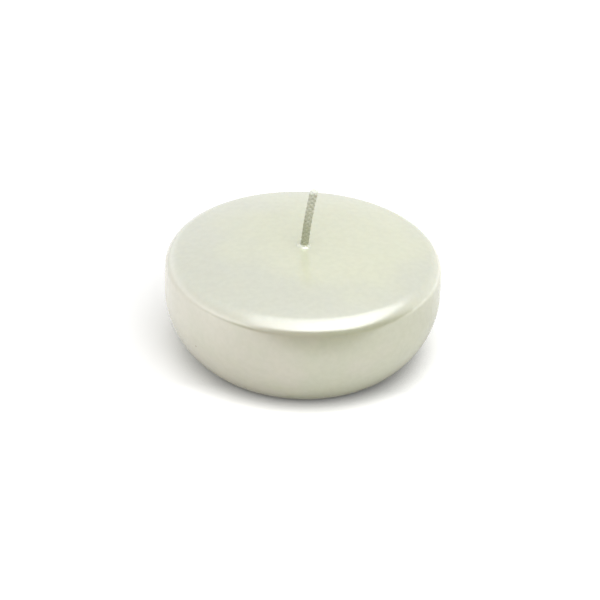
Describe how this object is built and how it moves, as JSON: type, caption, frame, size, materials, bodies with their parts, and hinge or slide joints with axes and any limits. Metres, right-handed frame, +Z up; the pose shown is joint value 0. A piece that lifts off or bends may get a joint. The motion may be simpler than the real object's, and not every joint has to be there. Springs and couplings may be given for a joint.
{
  "type": "floating candle",
  "caption": "Round ivory wax floating candle with a slightly domed top, soft rolled edge, bowl-shaped underside and a short waxed wick.",
  "frame": {"origin": "centre of the flat base, on the surface that the candle stands on", "axes": "+Z up along the candle's axis; the free end of the wick leans towards +X"},
  "size_m": [0.0762, 0.0762, 0.0491],
  "materials": {
    "pearl_wax": "ivory wax with a glossy pearl overdip",
    "waxed_cotton": "braided cotton soaked in wax",
    "tin_plate": "bright tin-plated sheet"
  },
  "bodies": {
    "root": {"wax_body": "pearl_wax", "wick": "waxed_cotton", "wick_sustainer": "tin_plate"}
  },
  "joints": []
}
